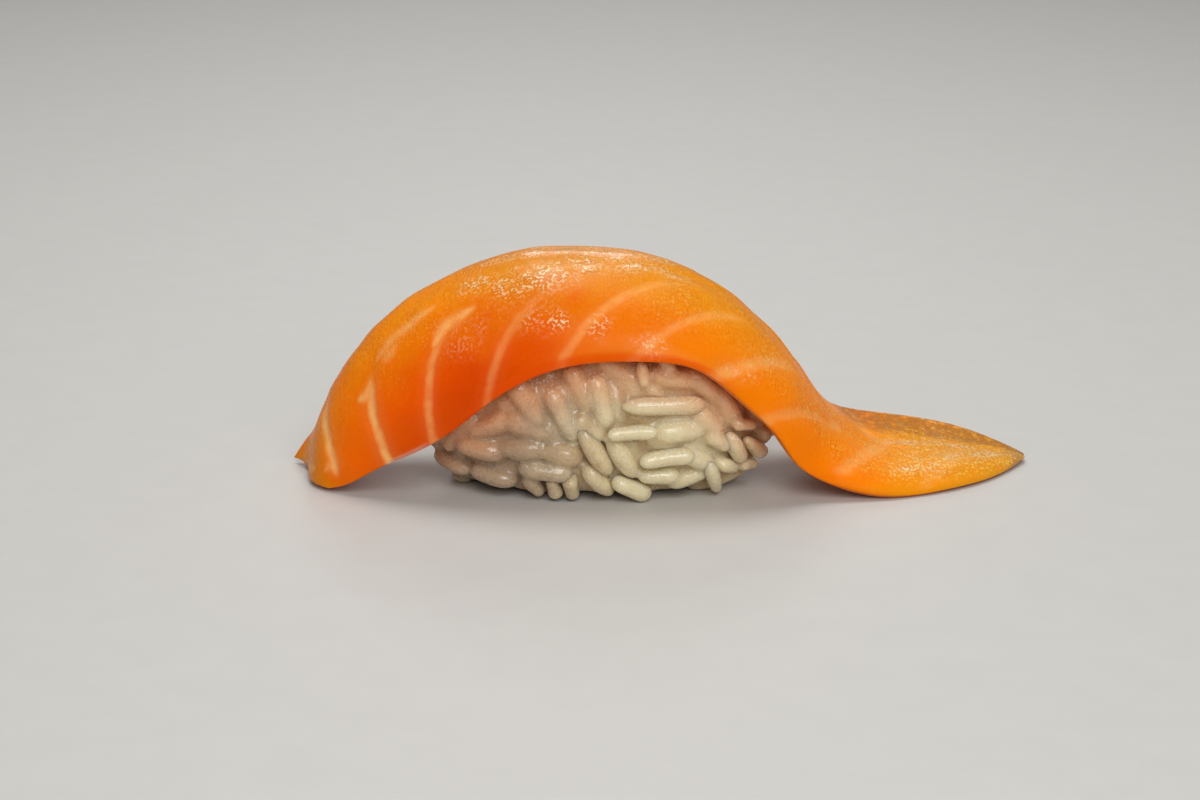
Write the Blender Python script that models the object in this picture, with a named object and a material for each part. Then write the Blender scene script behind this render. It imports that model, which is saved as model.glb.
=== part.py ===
"""Salmon nigiri: a slice of salmon draped over an oblong, hand-pressed ball of rice.

The slice is one closed body. Three rails give its top face: the near edge, the crest and the far
edge, all running from the blunt toe on the left to the pointed tail tip on the right. The ball of
rice is one body with an uneven outline and a flat base, and it is cut away under the slice.
X runs along the slice, -Y is the near side, and Z = 0 is the surface that the piece rests on.
"""

import bmesh
import bpy
import numpy as np
from mathutils import Vector, noise

MM = 0.001

# The slice's rails, in millimetres, at the same stations from the toe to the tail tip.
NEAR_RAIL = (
    (-37.9, -5.2, 0.5), (-35.4, -6.4, 1.4), (-31.6, -8.0, 3.8), (-27.4, -9.7, 6.1), (-23.0, -11.1, 9.2),
    (-18.6, -12.1, 12.9), (-13.2, -12.7, 15.9), (-7.4, -13.0, 17.2), (-0.8, -13.0, 17.3), (4.6, -12.7, 16.0),
    (9.2, -12.0, 12.1), (12.7, -11.0, 8.4), (15.2, -9.9, 4.6), (19.2, -8.9, 2.1), (25.2, -8.2, 0.6),
    (31.8, -5.5, 0.4), (38.0, -0.3, 0.3), (42.3, 6.2, 0.3),
)
CREST_RAIL = (
    (-41.0, 1.2, 0.6), (-39.5, 1.0, 6.6), (-37.2, 0.5, 11.8), (-33.6, 0.1, 16.8), (-28.6, 0.0, 21.2),
    (-22.2, 0.0, 24.8), (-15.0, 0.0, 26.7), (-7.6, 0.0, 27.0), (-0.4, 0.0, 25.8), (6.4, 0.0, 22.3),
    (12.0, 0.0, 17.6), (16.2, 0.2, 12.8), (19.0, 0.6, 8.5), (22.8, 1.2, 4.9), (28.0, 2.0, 3.2),
    (33.4, 3.2, 2.6), (38.9, 4.9, 1.7), (42.9, 7.3, 0.7),
)
FAR_RAIL = (
    (-43.1, 6.6, 0.8), (-40.6, 7.4, 3.6), (-35.8, 9.0, 5.6), (-30.0, 10.4, 8.2), (-24.2, 11.6, 11.4),
    (-18.6, 12.4, 14.4), (-13.2, 12.8, 16.4), (-7.4, 13.0, 17.4), (-0.8, 13.0, 17.4), (4.8, 12.8, 16.2),
    (9.6, 12.6, 13.2), (13.6, 12.5, 10.0), (17.4, 12.4, 7.2), (22.0, 12.3, 5.4), (27.8, 12.1, 4.6),
    (33.8, 11.5, 3.8), (39.2, 10.4, 2.2), (43.0, 8.6, 0.7),
)
THICKNESS = (2.6, 3.2, 3.8, 4.3, 4.6, 4.8, 4.9, 4.9, 4.8, 4.6, 4.2, 3.8, 3.4, 3.0, 2.6, 2.2, 1.6, 0.9)

CROWN_ARC = 1.15          # radians of arc from the crest down to an edge
LIP_SHARE = 0.09          # share of the thickness at which the two faces meet, under the top face
LIP_POWER = 14.0          # the higher, the narrower the lip's rounding
UNDERCUT_POWER = 4.0      # the lower, the farther in the underside starts to thin
END_ROUNDING = 0.045      # share of the length over which an end rounds off
NOTCH_DEPTH = 0.10        # the dent in the toe, in stations
NOTCH_PLACE = -0.12
NOTCH_WIDTH = 0.22
NOTCH_REACH = 0.12

SLICE_STEPS_ALONG = 52
SLICE_STEPS_ACROSS = 18

# The ball of rice.
RICE_CENTRE = (-7.2, 0.2, 10.0)
RICE_HALF = (20.4, 11.2, 14.0)
RICE_ROUNDNESS = 2.15     # 2 is an ellipsoid, and higher is boxier
RICE_DETAIL = 5
LUMP_HEIGHT = 0.75
LUMP_SIZE = 4.2
FINE_LUMP_HEIGHT = 0.35
FINE_LUMP_SIZE = 2.2
SEAT_GAP = 0.35           # clearance between the rice and the slice
CUTTER_RISE = 16.0        # how far the seat's cutter reaches above the slice

SALMON = ((0.86, 0.21, 0.02), 0.32)
RICE = ((0.78, 0.70, 0.56), 0.45)


def natural_spline(values, places):
    """Read the natural cubic spline through evenly spaced values at the given places."""
    values = np.asarray(values, dtype=float)
    count = len(values)
    system = np.eye(count)
    right = np.zeros_like(values)
    for k in range(1, count - 1):
        system[k, k - 1 : k + 2] = (1.0, 4.0, 1.0)
        right[k] = 6.0 * (values[k - 1] - 2.0 * values[k] + values[k + 1])
    bend = np.linalg.solve(system, right)
    k = np.clip(np.floor(places).astype(int), 0, count - 2)
    b = places - k
    a = 1.0 - b
    if values.ndim > 1:
        a, b = a[..., None], b[..., None]
    return a * values[k] + b * values[k + 1] + ((a**3 - a) * bend[k] + (b**3 - b) * bend[k + 1]) / 6.0


def top_face(along, across):
    """Points on the slice's top face, for along in 0..1 and across in -1 (near)..1 (far).

    A section leaves the crest level, along Y, and follows an arc of an ellipse down to each edge.
    """
    last = len(CREST_RAIL) - 1
    notch = NOTCH_DEPTH * np.exp(-(((across - NOTCH_PLACE) / NOTCH_WIDTH) ** 2))
    place = along * last + notch * np.clip(1.0 - along / NOTCH_REACH, 0.0, 1.0) ** 2
    crest = natural_spline(CREST_RAIL, place)
    near = natural_spline(NEAR_RAIL, place)
    far = natural_spline(FAR_RAIL, place)
    edge = np.where((across < 0.0)[..., None], near, far) - crest
    arc = CROWN_ARC * np.abs(across)
    sideways = np.sin(arc) / np.sin(CROWN_ARC)
    down = (1.0 - np.cos(arc)) / (1.0 - np.cos(CROWN_ARC))
    return crest + edge * np.stack([down, sideways, down], axis=-1)


def top_normals(along, across):
    """Unit normals of the top face, by small steps either way."""
    step = 1e-3
    a0, a1 = np.clip(along - step, 0.0, 1.0), np.clip(along + step, 0.0, 1.0)
    c0, c1 = np.clip(across - step, -1.0, 1.0), np.clip(across + step, -1.0, 1.0)
    normal = np.cross(
        top_face(a1, across) - top_face(a0, across), top_face(along, c1) - top_face(along, c0)
    )
    return normal / np.linalg.norm(normal, axis=-1, keepdims=True)


def end_round(along):
    """How full the slice is near its two ends: 0 at an end and 1 past the rounding."""
    near_end = np.clip(np.minimum(along, 1.0 - along) / END_ROUNDING, 0.0, 1.0)
    return np.sqrt(1.0 - (1.0 - near_end) ** 2)


def slice_grids(swell=0.0):
    """Top and bottom grids of the slice, which share their border; swell grows the body outwards."""
    s = np.linspace(0.0, 1.0, SLICE_STEPS_ALONG + 1)
    along = s - 0.6 * np.sin(2.0 * np.pi * s) / (2.0 * np.pi)
    across = np.sin(np.pi / 2.0 * np.linspace(-1.0, 1.0, SLICE_STEPS_ACROSS + 1))
    along, across = np.meshgrid(along, across, indexing="ij")
    face = top_face(along, across)
    normal = top_normals(along, across)
    thickness = natural_spline(THICKNESS, along * (len(THICKNESS) - 1))
    lip_full = np.sqrt(np.clip(1.0 - np.abs(across) ** LIP_POWER, 0.0, 1.0)) * end_round(along)
    under_full = np.sqrt(np.clip(1.0 - np.abs(across) ** UNDERCUT_POWER, 0.0, 1.0)) * end_round(along)
    lip = LIP_SHARE * thickness
    top_depth = lip * (1.0 - lip_full)
    under_depth = lip + (thickness - lip) * under_full
    top = face - normal * (top_depth - swell * lip_full)[..., None]
    under = face - normal * (under_depth + swell * under_full)[..., None]
    outward = np.zeros_like(face)
    outward[:, 0] += face[:, 0] - face[:, 1]
    outward[:, -1] += face[:, -1] - face[:, -2]
    outward[0] += face[0] - face[1]
    outward[-1] += face[-1] - face[-2]
    length = np.linalg.norm(outward, axis=-1, keepdims=True)
    shift = swell * outward / np.maximum(length, 1e-9)
    return top + shift, under + shift


def body_from_grids(name, top, under):
    """Close two grids that share a border into one mesh object."""
    rows, columns = top.shape[:2]
    mesh = bpy.data.meshes.new(name)
    body = bmesh.new()
    upper = [[body.verts.new(top[i, j] * MM) for j in range(columns)] for i in range(rows)]
    lower = [
        [
            upper[i][j] if i in (0, rows - 1) or j in (0, columns - 1) else body.verts.new(under[i, j] * MM)
            for j in range(columns)
        ]
        for i in range(rows)
    ]
    for i in range(rows - 1):
        for j in range(columns - 1):
            body.faces.new((upper[i][j], upper[i + 1][j], upper[i + 1][j + 1], upper[i][j + 1]))
            body.faces.new((lower[i][j], lower[i][j + 1], lower[i + 1][j + 1], lower[i + 1][j]))
    body.to_mesh(mesh)
    body.free()
    made = bpy.data.objects.new(name, mesh)
    bpy.context.scene.collection.objects.link(made)
    return made


def material(name, colour, roughness):
    """A plain Principled material."""
    made = bpy.data.materials.new(name)
    made.use_nodes = True
    shader = made.node_tree.nodes["Principled BSDF"]
    shader.inputs["Base Color"].default_value = (*colour, 1.0)
    shader.inputs["Roughness"].default_value = roughness
    shader.inputs["Metallic"].default_value = 0.0
    return made


def make_slice():
    """The slice of salmon; what would sink under the table is pressed flat on it."""
    top, under = slice_grids()
    for grid in (top, under):
        grid[..., 2] = np.maximum(grid[..., 2], 0.0)
    fish = body_from_grids("salmon_slice", top, under)
    fish.data.materials.append(material("salmon", *SALMON))
    fish.data.shade_smooth()
    return fish


def make_seat_cutter():
    """The slice grown by the seat gap and raised, to cut the rice away wherever the slice lies."""
    top, under = slice_grids(swell=SEAT_GAP)
    top[1:-1, 1:-1, 2] += CUTTER_RISE
    cutter = body_from_grids("seat_cutter", top, under)
    cutter.hide_render = True
    cutter.display_type = "WIRE"
    return cutter


def make_rice():
    """The ball of rice: a boxy ellipsoid with grain-sized lumps and a flat base."""
    body = bmesh.new()
    bmesh.ops.create_icosphere(body, subdivisions=RICE_DETAIL, radius=1.0)
    centre, half = Vector(RICE_CENTRE), Vector(RICE_HALF)
    for vertex in body.verts:
        way = vertex.co.normalized()
        size = sum(abs(w / h) ** RICE_ROUNDNESS for w, h in zip(way, half)) ** (-1.0 / RICE_ROUNDNESS)
        spot = way * size
        lump = LUMP_HEIGHT * noise.noise(spot / LUMP_SIZE) * 2.0
        lump += FINE_LUMP_HEIGHT * noise.noise(spot / FINE_LUMP_SIZE + centre) * 2.0
        spot = centre + way * (size + lump)
        spot.z = max(spot.z, 0.0)
        vertex.co = spot * MM
    mesh = bpy.data.meshes.new("rice_ball")
    body.to_mesh(mesh)
    body.free()
    rice = bpy.data.objects.new("rice_ball", mesh)
    bpy.context.scene.collection.objects.link(rice)
    rice.data.materials.append(material("rice", *RICE))
    rice.data.shade_smooth()
    return rice


def main():
    """Clear the scene and model the two pieces."""
    for item in list(bpy.data.objects):
        bpy.data.objects.remove(item, do_unlink=True)
    make_slice()
    rice = make_rice()
    cut = rice.modifiers.new("seat", "BOOLEAN")
    cut.operation = "DIFFERENCE"
    cut.solver = "EXACT"
    cut.object = make_seat_cutter()


main()
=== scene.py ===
"""Salmon nigiri: the looks of a slice of raw salmon draped over a hand-pressed ball of rice.

The slice is one dense surface between three rails, the near edge, the crest and the far edge,
with flakes that swell between its lines of fat. The ball is some hundreds of single grains of
cooked rice over a smaller core. X runs along the slice, -Y is the near side, Z is up.
"""

import logging
import math
from dataclasses import dataclass, field
from enum import Enum
from typing import Any, NamedTuple, Sequence

import bpy
import numpy as np
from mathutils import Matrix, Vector


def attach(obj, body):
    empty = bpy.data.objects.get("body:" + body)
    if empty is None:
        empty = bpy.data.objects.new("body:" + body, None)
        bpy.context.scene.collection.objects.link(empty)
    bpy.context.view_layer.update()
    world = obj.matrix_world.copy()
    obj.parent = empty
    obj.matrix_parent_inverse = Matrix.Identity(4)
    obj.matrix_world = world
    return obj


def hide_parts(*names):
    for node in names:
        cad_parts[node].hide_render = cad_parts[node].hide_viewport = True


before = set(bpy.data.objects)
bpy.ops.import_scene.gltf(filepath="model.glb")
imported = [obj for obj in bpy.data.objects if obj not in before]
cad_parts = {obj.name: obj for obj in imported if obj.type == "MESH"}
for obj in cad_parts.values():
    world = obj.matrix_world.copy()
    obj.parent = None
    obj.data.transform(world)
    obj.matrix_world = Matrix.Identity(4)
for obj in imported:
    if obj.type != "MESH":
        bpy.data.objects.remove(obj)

MM = 0.001
BATCH = 8000
LOG = logging.getLogger("nigiri")
Array = np.ndarray
Piece = bpy.types.Object
Rail = tuple[tuple[float, float, float], ...]
Stops = tuple[tuple[float, str], ...]


# ---- numbers along curves


def natural_spline(values: Sequence[Any], places: Array) -> Array:
    """Reads the natural cubic spline through evenly spaced values.

    Between two values the spline is a cubic whose second derivative is continuous, and zero at
    both ends; those second derivatives solve a system with 1, 4, 1 on its diagonals.

    Args:
        values: The values, or points, at stations 0, 1, 2 and so on.
        places: Where to read it, in stations, in an array of any shape.

    Returns:
        The spline's values, in the shape of places, with a last axis for points.
    """
    knots = np.asarray(values, dtype=float)
    count = len(knots)
    system = np.eye(count)
    right = np.zeros_like(knots)
    inner = np.arange(1, count - 1)
    system[inner, inner - 1] = 1.0
    system[inner, inner] = 4.0
    system[inner, inner + 1] = 1.0
    right[inner] = 6.0 * (knots[inner - 1] - 2.0 * knots[inner] + knots[inner + 1])
    bend = np.linalg.solve(system, right)
    k = np.clip(np.floor(places).astype(int), 0, count - 2)
    b = places - k
    a = 1.0 - b
    if knots.ndim > 1:
        a, b = a[..., None], b[..., None]
    return a * knots[k] + b * knots[k + 1] + ((a**3 - a) * bend[k] + (b**3 - b) * bend[k + 1]) / 6.0


def smooth_step(low: float, high: float, value: Array) -> Array:
    """Rises smoothly from 0 at low to 1 at high, as 3t² - 2t³."""
    t = np.clip((value - low) / (high - low), 0.0, 1.0)
    return t * t * (3.0 - 2.0 * t)


def stacked(*parts: Array) -> Array:
    """Stacks arrays along a new last axis."""
    return np.stack(parts, axis=-1)


def unit(vectors: Array) -> Array:
    """Scales each vector, on the last axis, to length 1."""
    return vectors / np.maximum(np.linalg.norm(vectors, axis=-1, keepdims=True), 1e-9)


def mean_of(share: Array, first: Array, last: Array) -> Array:
    """Goes from first to last as a share goes from 0 to 1."""
    return (1.0 - share) * first + share * last


def flattened(vectors: Array, normals: Array, share: float = 1.0) -> Array:
    """Takes a share of what runs along unit normals out of vectors."""
    return vectors - (vectors * normals).sum(-1, keepdims=True) * normals * share


def squared_off(value: Array, power: float) -> Array:
    """Falls from 1 at 0 to 0 at 1 and -1, as a boxy arc: the root of one less a power."""
    return np.sqrt(np.clip(1.0 - np.abs(value) ** power, 0.0, 1.0))


def ripple(points: Array, wavelength: float, seed: int) -> Array:
    """Gentle unevenness: the mean of eight plane waves in seeded directions, from -1 to 1.

    Args:
        points: Points, in any unit.
        wavelength: The typical distance between two swells, in that unit.
        seed: Which directions and phases to take.

    Returns:
        One value for each point.
    """
    dice = np.random.default_rng(seed)
    ways = unit(dice.normal(size=(8, 3))) * dice.uniform(0.7, 1.4, (8, 1))
    starts = dice.uniform(0.0, 2.0 * np.pi, 8)
    return np.sin(points @ ways.T * (2.0 * np.pi / wavelength) + starts).mean(axis=-1) * 1.8


# ---- meshes


def grid_quads(rows: int, columns: int, closed: bool = False) -> Array:
    """Quads of a grid of points stored row by row.

    Args:
        rows: How many rows of points.
        columns: How many points in a row.
        closed: Whether the last column joins the first.

    Returns:
        An array of quads, four indices each.
    """
    i = np.arange(rows - 1)[:, None] * columns
    j = np.arange(columns if closed else columns - 1)[None, :]
    k = (j + 1) % columns
    return stacked(i + j, i + columns + j, i + columns + k, i + k).reshape(-1, 4)


def pole_fans(rows: int, columns: int, poles: tuple[int, int]) -> Array:
    """Triangles that close the first and last rows of a closed grid.

    Args:
        rows: How many rows of points.
        columns: How many points in a row.
        poles: Index of the point that closes the first row, and of the one for the last row.

    Returns:
        An array of triangles, three indices each.
    """
    around = np.arange(columns)
    after = (around + 1) % columns
    base = (rows - 1) * columns
    first = stacked(np.full(columns, poles[0]), after, around)
    last = stacked(np.full(columns, poles[1]), base + around, base + after)
    return np.concatenate([first, last])


def mesh_points(mesh: bpy.types.Mesh) -> Array:
    """A mesh's points, in metres."""
    spots = np.empty(len(mesh.vertices) * 3)
    mesh.vertices.foreach_get("co", spots)
    return spots.reshape(-1, 3)


def mesh_triangles(mesh: bpy.types.Mesh) -> Array:
    """The point indices of a mesh's triangles."""
    mesh.calc_loop_triangles()
    corner = np.empty(len(mesh.loop_triangles) * 3, dtype=np.int32)
    mesh.loop_triangles.foreach_get("vertices", corner)
    return corner.reshape(-1, 3)


def add_object(name: str, data: Any) -> Piece:
    """Puts a mesh, a light or a camera into the scene at the origin."""
    added = bpy.data.objects.new(name, data)
    bpy.context.scene.collection.objects.link(added)
    return added


def make_piece(name: str, points: Array, quads: Array, triangles: Array | None = None) -> Piece:
    """Puts points, in millimetres, and faces into a smooth mesh object at the origin."""
    faces = [quads] if triangles is None else [quads, triangles]
    corner = np.concatenate([some.reshape(-1) for some in faces]).astype(np.int32)
    size = np.concatenate([np.full(len(some), some.shape[1]) for some in faces])
    mesh = bpy.data.meshes.new(name)
    mesh.vertices.add(len(points))
    mesh.vertices.foreach_set("co", (points * MM).astype(np.float32).reshape(-1))
    mesh.loops.add(len(corner))
    mesh.loops.foreach_set("vertex_index", corner)
    mesh.polygons.add(len(size))
    mesh.polygons.foreach_set("loop_start", (np.cumsum(size) - size).astype(np.int32))
    mesh.update(calc_edges=True)
    mesh.validate()
    mesh.polygons.foreach_set("use_smooth", np.ones(len(mesh.polygons), dtype=bool))
    return add_object(name, mesh)


def store(piece: Piece, name: str, values: Array) -> None:
    """Stores a number, or a vector of three, for each point of a piece as a named attribute."""
    kind, key = ("FLOAT", "value") if values.ndim == 1 else ("FLOAT_VECTOR", "vector")
    layer = piece.data.attributes.new(name, kind, "POINT")
    layer.data.foreach_set(key, values.astype(np.float32).reshape(-1))


# ---- shader work


def colour(code: str) -> tuple[float, float, float, float]:
    """Turns a colour written as six hexadecimal digits into linear values."""
    parts = np.array([int(code[k : k + 2], 16) for k in (0, 2, 4)]) / 255.0
    linear = np.where(parts <= 0.04045, parts / 12.92, ((parts + 0.055) / 1.055) ** 2.4)
    return (*(float(v) for v in linear), 1.0)


class Tint(NamedTuple):
    """A colour as six hexadecimal digits, and how strongly it is laid on."""

    code: str
    share: float = 1.0


class NodeDesk:
    """Places and joins the nodes of one material or node group."""

    def __init__(self, tree: bpy.types.NodeTree) -> None:
        """Works on the given tree."""
        self.tree = tree

    def put(self, kind: str, **settings: Any) -> bpy.types.Node:
        """Adds a node of a kind and sets its properties."""
        node = self.tree.nodes.new(kind)
        for key, value in settings.items():
            setattr(node, key, value)
        return node

    def feed(self, socket: bpy.types.NodeSocket, value: Any) -> None:
        """Links a socket into an input, or sets the input's own value."""
        if isinstance(value, bpy.types.NodeSocket):
            self.tree.links.new(value, socket)
        else:
            socket.default_value = value

    def fix(self, node: bpy.types.Node, **values: Any) -> None:
        """Feeds a node's sockets by name, with _ for a space."""
        for key, value in values.items():
            self.feed(node.inputs[key.replace("_", " ")], value)

    def sum(self, operation: str, a: Any, b: Any = 0.0, c: Any = 0.0, clamp: bool = False) -> Any:
        """A Math node's result for up to three inputs."""
        node = self.put("ShaderNodeMath", operation=operation, use_clamp=clamp)
        for socket, value in zip(node.inputs, (a, b, c)):
            self.feed(socket, value)
        return node.outputs[0]

    def times(self, value: Any, *others: Any) -> Any:
        """The product of a value with the others."""
        for other in others:
            value = self.sum("MULTIPLY", value, other)
        return value

    def push(self, base: Any, value: Any, share: Any, clamp: bool = False) -> Any:
        """A base pushed by a share of a value."""
        return self.sum("MULTIPLY_ADD", value, share, base, clamp)

    def ease(self, value: Any, low: float, high: float, least: float = 0, most: float = 1) -> Any:
        """A smooth step of a value from low to high, put out from least to most."""
        node = self.put("ShaderNodeMapRange", interpolation_type="SMOOTHSTEP")
        self.fix(node, Value=value, From_Min=low, From_Max=high, To_Min=least, To_Max=most)
        return node.outputs["Result"]

    def blend(self, share: Any, a: Any, b: Any) -> Any:
        """Mixes two colours by a share."""
        node = self.put("ShaderNodeMix", data_type="RGBA")
        for index, value in ((0, share), (6, a), (7, b)):
            self.feed(node.inputs[index], value)
        return node.outputs[2]

    def lay(self, base: Any, tint: Tint, *masks: Any) -> Any:
        """Lays a tint over a base colour, as strongly as the product of the masks."""
        return self.blend(self.times(*masks, tint.share), base, colour(tint.code))

    def ramp(self, share: Any, stops: Stops) -> Any:
        """A colour ramp through stops of a place and a colour code."""
        node = self.put("ShaderNodeValToRGB")
        band = node.color_ramp
        band.interpolation = "EASE"
        for k, (place, code) in enumerate(stops):
            stop = band.elements[k] if k < 2 else band.elements.new(place)
            stop.position = place
            stop.color = colour(code)
        self.feed(node.inputs[0], share)
        return node.outputs[0]

    def noise(self, vector: Any, size: float, detail: float = 2.0) -> Any:
        """Noise with features of a size in millimetres on Object coordinates."""
        node = self.put("ShaderNodeTexNoise")
        self.fix(node, Vector=vector, Scale=1.0 / (size * MM), Detail=detail)
        return node.outputs["Fac"]

    def use(self, group: bpy.types.NodeTree, **inputs: Any) -> Any:
        """Places a group, feeds its inputs by name, and gives its first output."""
        node = self.put("ShaderNodeGroup", node_tree=group)
        self.fix(node, **inputs)
        return node.outputs[0]

    def place(self) -> Any:
        """Object coordinates, in metres."""
        return self.put("ShaderNodeTexCoord").outputs["Object"]

    def number(self, name: str) -> Any:
        """A number that the piece stores for each point."""
        return self.put("ShaderNodeAttribute", attribute_name=name).outputs["Fac"]

    def numbers(self, name: str) -> tuple[Any, Any, Any]:
        """The three numbers that the piece stores for each point."""
        return self.parts(self.put("ShaderNodeAttribute", attribute_name=name).outputs["Vector"])

    def bump(self, height: Any, strength: float, distance: float) -> Any:
        """The normal that a height gives, for a bump distance in millimetres."""
        node = self.put("ShaderNodeBump")
        self.fix(node, Strength=strength, Distance=distance * MM, Height=height)
        return node.outputs["Normal"]

    def parts(self, vector: Any) -> tuple[Any, Any, Any]:
        """The three numbers of a vector."""
        node = self.put("ShaderNodeSeparateXYZ")
        self.feed(node.inputs[0], vector)
        return tuple(node.outputs)


class Groups:
    """Node groups that more than one finish uses, each built once."""

    @staticmethod
    def _open(name: str, takes: Sequence[str], gives: str) -> tuple[Any, ...]:
        """Starts a group that takes a vector and some numbers, and gives one number.

        Args:
            name: The group's name.
            takes: Names of the numbers.
            gives: Name of the output.

        Returns:
            The group, a desk on it, what it is given, and its output node.
        """
        group = bpy.data.node_groups.new(name, "ShaderNodeTree")
        sockets = group.interface
        sockets.new_socket("Vector", in_out="INPUT", socket_type="NodeSocketVector")
        for label in takes:
            sockets.new_socket(label, in_out="INPUT", socket_type="NodeSocketFloat")
        sockets.new_socket(gives, in_out="OUTPUT", socket_type="NodeSocketFloat")
        desk = NodeDesk(group)
        return group, desk, desk.put("NodeGroupInput").outputs, desk.put("NodeGroupOutput")

    @classmethod
    def stipple(cls) -> bpy.types.NodeTree:
        """Tiny wet beads: a mask that is 1 at the middle of scattered cells and 0 between them, used
        for bumps and for painted sparkle highlights.
        """
        name = "wet stipple"
        if name in bpy.data.node_groups:
            return bpy.data.node_groups[name]
        group, desk, given, made = cls._open(name, ("Scale", "Radius", "Share"), "Mask")
        cell = desk.put("ShaderNodeTexVoronoi")
        desk.fix(cell, Vector=given["Vector"], Scale=given["Scale"])
        sparkle_bead = desk.ease(desk.sum("DIVIDE", cell.outputs["Distance"], given["Radius"]), 1.0, 0.35)
        chosen = desk.sum("LESS_THAN", desk.parts(cell.outputs["Color"])[0], given["Share"])
        desk.fix(made, Mask=desk.times(sparkle_bead, chosen))
        return group

    @classmethod
    def grain(cls) -> bpy.types.NodeTree:
        """Fine uneven grain: two layers of noise, around 0.5."""
        name = "fine grain"
        if name in bpy.data.node_groups:
            return bpy.data.node_groups[name]
        group, desk, given, made = cls._open(name, ("Scale", "Coarse Share"), "Value")
        layers = []
        for scale in (given["Scale"], desk.times(given["Scale"], 0.28)):
            layer = desk.put("ShaderNodeTexNoise")
            desk.fix(layer, Vector=given["Vector"], Detail=2.0, Scale=scale)
            layers.append(layer.outputs["Fac"])
        node = desk.put("ShaderNodeMix", data_type="FLOAT")
        for index, source in zip((0, 2, 3), (given["Coarse Share"], *layers)):
            desk.feed(node.inputs[index], source)
        desk.fix(made, Value=node.outputs[0])
        return group


def new_material(name: str) -> tuple[bpy.types.Material, NodeDesk, bpy.types.Node]:
    """A material with its Principled shader, and a desk on its nodes."""
    material = bpy.data.materials.new(name)
    material.use_nodes = True
    return material, NodeDesk(material.node_tree), material.node_tree.nodes["Principled BSDF"]


# ---- finishes


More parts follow.
